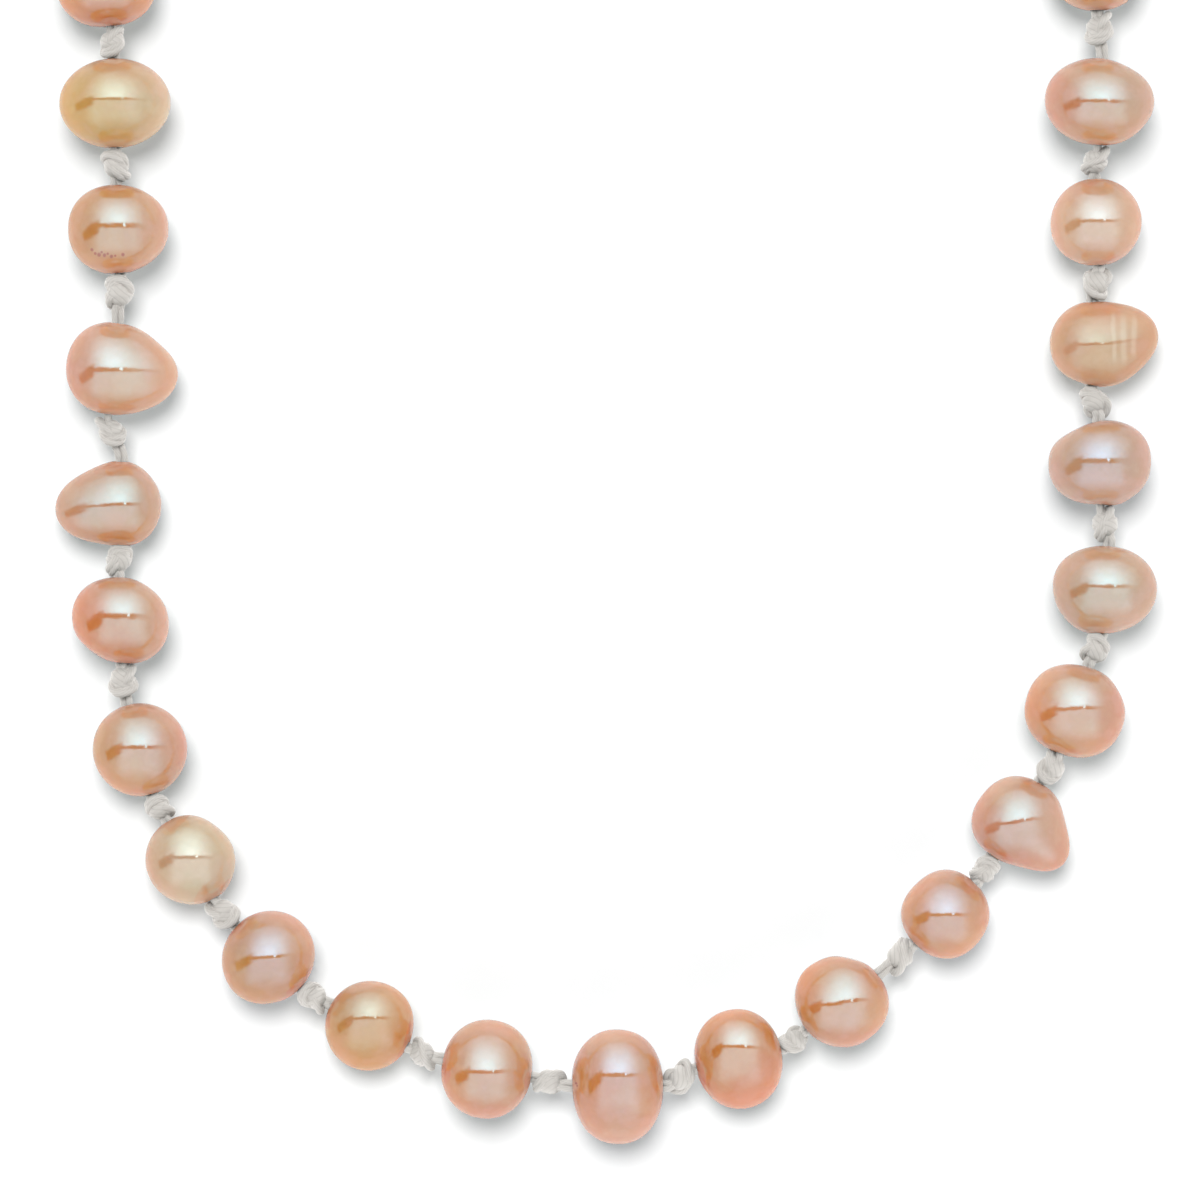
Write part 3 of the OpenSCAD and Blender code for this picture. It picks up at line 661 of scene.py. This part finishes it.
for s_i, side in enumerate(("left", "right")):
    start_row = [*CENTRE[:2], 180 if side == "left" else 0, *CENTRE[3:]]
    rows = [start_row] + ROWS[side]
    for i in range(SIDE_N):
        rng = np.random.RandomState(700 + 60 * s_i + i)
        look = KNOTS.get((side, i)) or (round(float(rng.uniform(.60, .66)), 2), .06, int(rng.randint(0, 36)) * 10,
                                        int(rng.choice([-1, 1])), round(float(rng.uniform(0, .12)), 2), .5)
        obj = silk_gap("thread_%s_%02d" % (side, i), rows[i], rows[i + 1], look, 10 + i + 30 * s_i)
        a, b = body_name(side, i), body_name(side, i + 1)
        if a == b:
            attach(obj, a)
        else:
            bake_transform(obj)
        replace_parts(obj, silk_node(side, i))

# ---------------------------------------------------------------- French wire at the two ends
def in_end_frame(row, pts):
    """Points (along the end's heading, height) as points in the layout."""
    pts = np.asarray(pts, float)
    m = out_mouth(row)
    h = heading(row[2])
    return np.stack([m[0] + pts[:, 0] * h[0], m[1] + pts[:, 0] * h[1], pts[:, 1]], -1)


def touch(p, c, r, hand):
    """Where a straight line from p meets the circle round c."""
    d = math.dist(p, c)
    a = math.atan2(p[1] - c[1], p[0] - c[0]) + hand * math.acos(r / d)
    return a, (c[0] + r * math.cos(a), c[1] + r * math.sin(a))


def coil_path(row):
    z = out_mouth(row)[2]
    c = (LOOP_OUT, LOOP_Z)
    top, low = (0.12, z + 0.38), (0.26, z - 0.42)
    a0, _ = touch(top, c, LOOP_R, -1)
    a1, _ = touch(low, c, LOOP_R, 1)
    if a1 > a0:
        a1 -= 2 * math.pi
    turn = np.linspace(a0, a1, 60)
    ring = [(c[0] + LOOP_R * math.cos(t), c[1] + LOOP_R * math.sin(t)) for t in turn]
    return in_end_frame(row, [top] + ring + [low])


def coil(name, row, body, node):
    path = even(coil_path(row), 0.02)
    run = along(path)
    t, n, b = frames(path, first=(0.3, 0.2, 1.0))
    pitch, wire = 0.112, 0.054
    per = 18
    count = int(run[-1] / pitch * per)
    s = np.linspace(0, run[-1], count)
    at = [np.stack([np.interp(s, run, q[:, k]) for k in range(3)], -1) for q in (path, n, b)]
    a = 2 * math.pi * s / pitch
    helix = at[0] + (WIRE_R - wire) * (np.cos(a)[:, None] * at[1] + np.sin(a)[:, None] * at[2])
    helix += np.random.RandomState(len(name)).normal(size=(count, 1)) * 0.002
    pts, faces, uv = tube(helix, wire, 6)
    obj = new_object(name, pts, faces, M["gold"], uv=uv)
    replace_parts(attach(obj, body), node)
    # the end of the silk inside the coil, from the bore and back into it
    z = out_mouth(row)[2]
    inner = np.concatenate([in_end_frame(row, [(-2.9, z + 0.05), (-0.8, z + 0.08), (-0.1, z + 0.16)]), path[::12],
                            in_end_frame(row, [(-0.1, z - 0.16), (-0.8, z - 0.08), (-2.9, z - 0.05)])])
    thread = even(inner, 0.12)
    reach = along(thread)
    r = np.interp(reach, [0, 2.4, 3.4, reach[-1] - 3.4, reach[-1] - 2.4, reach[-1]], [.17, .17, .26, .26, .17, .17])
    pts, faces, uv = tube(thread, r, 10)
    obj = new_object(name.replace("coil", "thread_end"), pts, faces, M["silk"], uv=uv)
    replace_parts(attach(obj, body), body.replace("pearls_", "silk_"))


for side in ("left", "right"):
    coil("coil_" + side, ROWS[side][-1], "pearls_%s_upper" % side, "french_wire_" + side)

# ---------------------------------------------------------------- lobster clasp and end ring
EYE_OUT, EYE_T, CLASP_T, LEVER_T, RIVET_R = 1.65, 0.8, 2.7, 1.4, 0.35
PIN = np.array([4.2, -1.35])


def end_point(side, x, y, z):
    """A point in the frame of the clasp or ring: x away from the pearls, from the loop's outer wire."""
    row = ROWS[side][-1]
    h = heading(row[2])
    e = out_mouth(row) + (LOOP_OUT + LOOP_R) * h
    s = np.array([-h[1], h[0], 0])
    return np.array([e[0] + x * h[0] + y * s[0], e[1] + x * h[1] + y * s[1], z])


def to_end(side, co):
    """The same the other way, for many points in metres."""
    q = co / MM - SHIFT
    row = ROWS[side][-1]
    h = heading(row[2])
    e = out_mouth(row) + (LOOP_OUT + LOOP_R) * h
    d = q - e
    return d[:, 0] * h[0] + d[:, 1] * h[1], -d[:, 0] * h[1] + d[:, 1] * h[0], q[:, 2]


def cast(name, node, voxel, passes, shape=None):
    """A finished casting from a machined solid: remeshed, its edges melted round, then shaped in height."""
    src = frame_nodes[node]
    obj = bpy.data.objects.new(name, src.data.copy())
    scene.collection.objects.link(obj)
    m = obj.modifiers.new("even", "REMESH")
    m.mode, m.voxel_size, m.adaptivity = "VOXEL", voxel * MM, 0.0
    m = obj.modifiers.new("melt", "SMOOTH")
    m.factor, m.iterations = 0.5, passes
    bpy.context.view_layer.update()
    mesh = bpy.data.meshes.new_from_object(obj.evaluated_get(bpy.context.evaluated_depsgraph_get()))
    obj.modifiers.clear()
    obj.data = mesh
    if shape:
        co = np.zeros(len(mesh.vertices) * 3)
        mesh.vertices.foreach_get("co", co)
        co = co.reshape(-1, 3)
        x, y, z = to_end("left", co)
        co[:, 2] = shape(x, y, z) * MM
        mesh.vertices.foreach_set("co", co.ravel())
        mesh.update()
    mesh.polygons.foreach_set("use_smooth", [True] * len(mesh.polygons))
    mesh.materials.clear()
    return obj


def oval(x, y, cx, cy, rx, ry):
    """Distance inside (+) an ellipse, roughly, in mm."""
    k = np.hypot((x - cx) / rx, (y - cy) / ry)
    return (1 - k) * np.hypot(x - cx, y - cy) / np.maximum(k, 0.05)


def crown(x, y, z):
    """The claw's cheeks swell in the middle of the wire and thin towards the tip."""
    edge = np.minimum(oval(x, y, 6.2, 0, 4.6, 3.1), -oval(x, y, 6.7, 0.15, 2.9, 1.75))
    e = np.clip(edge / 0.62, 0, 1)
    f = 0.50 + 0.50 * np.sqrt(np.clip(1 - (1 - e) ** 2, 0, 1))
    f = np.where(x < 2.0, f + (1 - f) * smooth(2.0 - x, 0.0, 0.8), f)
    thin = 1 - 0.34 * smooth(x, 5.0, 10.4)
    return CLASP_Z + (z - CLASP_Z) * f * thin


def crown_lever(x, y, z):
    edge = np.minimum(oval(x, y, 6.2, 0, 4.6, 3.1), -oval(x, y, 6.7, 0.15, 2.9, 1.75))
    e = np.clip(edge / 0.5, 0, 1)
    f = 0.6 + 0.4 * np.sqrt(np.clip(1 - (1 - e) ** 2, 0, 1))
    f = np.where(x < PIN[0] + 1.2, f + (1 - f) * smooth(PIN[0] + 1.2 - x, 0.0, 0.7), f)
    return CLASP_Z + (z - CLASP_Z) * f


frame_nodes = {o.name: o for o in scene.objects if o.type == "MESH"}
obj = cast("claw", "clasp_body", 0.055, 5, crown)
obj.data.materials.append(M["gold"])
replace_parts(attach(obj, "clasp"), "clasp_body")
obj = cast("lever", "clasp_lever", 0.045, 4, crown_lever)
obj.data.materials.append(M["gold"])
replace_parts(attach(obj, "clasp_lever"), "clasp_lever")
obj = cast("leaf_spring", "clasp_spring", 0.03, 3)
obj.data.materials.append(M["spring_steel"])
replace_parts(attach(obj, "clasp"), "clasp_spring")


def turned(name, profile, centre, tilt, around, slot, closed=False):
    """A shape of revolution from (radius, height) pairs; tilt turns it about the end's side direction."""
    a = np.linspace(0, 2 * math.pi, around, endpoint=False)
    prof = np.asarray(profile, float)
    p = np.stack([prof[:, :1] * np.cos(a), prof[:, :1] * np.sin(a), prof[:, 1:] * np.ones_like(a)], -1).reshape(-1, 3)
    side, c = centre
    ct, st = math.cos(rad(tilt)), math.sin(rad(tilt))
    x, z = p[:, 0] * ct + p[:, 2] * st, -p[:, 0] * st + p[:, 2] * ct
    pts = np.array([end_point(side, c[0] + x[i], c[1] + p[i, 1], c[2] + z[i]) for i in range(len(p))])
    faces = grid_faces(len(prof), around, closed_rings=closed)
    if not closed:
        last = (len(prof) - 1) * around
        faces += [tuple(range(around))[::-1], tuple(range(last, last + around))]
    return new_object(name, pts, faces, M[slot])


half = CLASP_T / 2
dome = [(0.46 * math.cos(rad(t)), half - 0.02 + 0.14 * math.sin(rad(t))) for t in (0, 20, 40, 60, 80)]
shank = [(RIVET_R - 0.01, half - 0.06), (RIVET_R - 0.01, -half + 0.06)]
profile = dome[::-1] + shank + [(r, -z) for r, z in dome]
obj = turned("rivet", profile, ("left", (PIN[0], PIN[1], CLASP_Z)), 0, 40, "gold")
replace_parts(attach(obj, "clasp"), "clasp_rivet")

wire = [(2.0 + 0.4 * math.cos(t), 0.4 * math.sin(t)) for t in np.linspace(0, 2 * math.pi, 20, endpoint=False)]
obj = turned("closed_ring", wire, ("right", (1.0, 0.0, RING_Z)), RING_LEAN, 96, "gold", closed=True)
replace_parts(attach(obj, "end_ring"), "end_ring")

# ---------------------------------------------------------------- camera, light and floor
cam_data = bpy.data.cameras.new("camera")
cam_data.sensor_width = 36.0
cam_data.lens = 270.0
cam_data.clip_start, cam_data.clip_end = 0.01, 20.0
cam = bpy.data.objects.new("camera", cam_data)
scene.collection.objects.link(cam)
cam.location = (SHIFT[0] * MM, SHIFT[1] * MM, 0.6032)
scene.camera = cam

world = bpy.data.worlds.new("studio")
scene.world = world
world.use_nodes = True
world.cycles.sampling_method = "NONE"
n = Nodes(world.node_tree)
ray = n.add("ShaderNodeTexCoord").outputs["Generated"]
up = n.add("ShaderNodeVectorMath", {0: ray, 1: (0.0, 0.0, 1.0)}, operation="ADD").outputs[0]
half = n.add("ShaderNodeVectorMath", {0: up}, operation="NORMALIZE").outputs[0]
uvw = n.add("ShaderNodeSeparateXYZ", {0: half})
U, V = uvw.outputs[0], uvw.outputs[1]


SOFT, UPPER, LOWER = 0.92, 3.35, 1.0


def band(x, a, b, c, d):
    """1 between b and c, falling to 0 at a and d."""
    return n.math("MULTIPLY", n.ramp(x, a, b), n.ramp(x, c, d, 1.0, 0.0))


arch = n.math("MULTIPLY", U, n.math("ADD", 1.0, n.math("MULTIPLY", n.math("MULTIPLY", V, V), 0.5)))
upper = n.math("MULTIPLY", band(arch, -0.62, -0.06, 0.05, 0.66), n.ramp(V, 0.035, 0.075))
upper = n.math("MULTIPLY", upper, n.ramp(V, 0.16, 0.84, 1.0, 0.0))
lower = n.math("MULTIPLY", band(U, -0.56, -0.30, 0.30, 0.58), band(V, -0.70, -0.36, -0.03, 0.0))
slant = n.math("SUBTRACT", V, n.math("MULTIPLY", n.math("ADD", U, 0.40), 0.55))
wedge = n.math("MULTIPLY", band(U, -0.84, -0.70, -0.44, -0.30), band(slant, -0.18, -0.08, 0.06, 0.15))
slit = n.math("MULTIPLY", band(U, -0.60, -0.48, 0.20, 0.42), band(V, -0.025, 0.0, 0.03, 0.06))
spark = n.math("MULTIPLY", band(U, 0.12, 0.14, 0.16, 0.18), band(V, 0.0, 0.02, 0.04, 0.06))
core = n.math("MULTIPLY", band(U, -0.18, 0.02, 0.06, 0.26), band(V, 0.04, 0.08, 0.13, 0.32))
upper = n.math("ADD", upper, n.math("MULTIPLY", core, 0.20))
light = n.math("ADD", SOFT, n.math("MULTIPLY", upper, UPPER))
light = n.math("ADD", light, n.math("MULTIPLY", lower, LOWER))
light = n.math("MULTIPLY", light, n.math("SUBTRACT", 1.0, n.math("MULTIPLY", wedge, 1.0)))
light = n.math("MULTIPLY", light, n.math("SUBTRACT", 1.0, n.math("MULTIPLY", slit, 0.98)))
light = n.math("ADD", light, n.math("MULTIPLY", spark, 6.0))
panels = n.add("ShaderNodeBackground", {"Color": (1.0, 1.0, 1.0, 1.0), "Strength": light}).outputs[0]
# for everything matte: an even dome, a little brighter low down and towards the viewer's side
height = n.add("ShaderNodeSeparateXYZ", {0: ray}).outputs[2]
dome = n.math("SUBTRACT", 0.60, n.math("MULTIPLY", n.math("MULTIPLY", height, height), 0.48))
sideways = n.add("ShaderNodeVectorMath", {0: ray, 1: (0.3, -0.954, 0.0)}, operation="DOT_PRODUCT").outputs["Value"]
dome = n.math("ADD", dome, n.ramp(sideways, 0.35, 0.95, 0.0, 1.3))
matte = n.add("ShaderNodeBackground", {"Color": (1.0, 1.0, 1.0, 1.0), "Strength": dome}).outputs[0]
plain = n.add("ShaderNodeBackground", {"Color": (1.0, 1.0, 1.0, 1.0), "Strength": 1.1}).outputs[0]
seen = n.add("ShaderNodeLightPath").outputs["Is Camera Ray"]
soft = n.add("ShaderNodeLightPath").outputs["Is Diffuse Ray"]
studio = n.add("ShaderNodeMixShader", {0: soft, 1: panels, 2: matte}).outputs[0]
both = n.add("ShaderNodeMixShader", {0: seen, 1: studio, 2: plain}).outputs[0]
out = n.add("ShaderNodeOutputWorld")
world.node_tree.links.new(both, out.inputs["Surface"])

sun_data = bpy.data.lights.new("key", "SUN")
sun_data.energy = 3.0
sun_data.angle = rad(26)
sun = bpy.data.objects.new("key", sun_data)
scene.collection.objects.link(sun)
sun.rotation_euler = Vector((-0.06, 0.30, 0.95)).to_track_quat("Z", "Y").to_euler()
sun.visible_glossy = False

floor_mesh = bpy.data.meshes.new("floor")
floor_mesh.from_pydata([(-4, -4, 0), (4, -4, 0), (4, 4, 0), (-4, 4, 0)], [], [(0, 1, 2, 3)])
floor = bpy.data.objects.new("floor", floor_mesh)
scene.collection.objects.link(floor)
fm = bpy.data.materials.new("floor_white")
fm.use_nodes = True
fm.cycles.emission_sampling = "NONE"
n = Nodes(fm.node_tree)
dull = n.add("ShaderNodeLightPath").outputs["Is Glossy Ray"]
white = n.add("ShaderNodeBsdfDiffuse", {"Color": n.mix(dull, (0.758, 0.755, 0.755), (0.56, 0.56, 0.56))}).outputs[0]
# matte surfaces are lit from below as by an unshadowed light table
table = n.add("ShaderNodeEmission", {"Color": (1.0, 1.0, 1.0, 1.0), "Strength": 3.2}).outputs[0]
matte = n.add("ShaderNodeLightPath").outputs["Is Diffuse Ray"]
white = n.add("ShaderNodeMixShader", {0: matte, 1: white, 2: table}).outputs[0]
clear = n.add("ShaderNodeBsdfTransparent").outputs[0]
under = n.add("ShaderNodeNewGeometry").outputs["Backfacing"]
both = n.add("ShaderNodeMixShader", {0: under, 1: white, 2: clear}).outputs[0]
out = n.add("ShaderNodeOutputMaterial")
fm.node_tree.links.new(both, out.inputs["Surface"])
floor_mesh.materials.append(fm)

scene.view_settings.view_transform = "Standard"
scene.view_settings.look = "None"
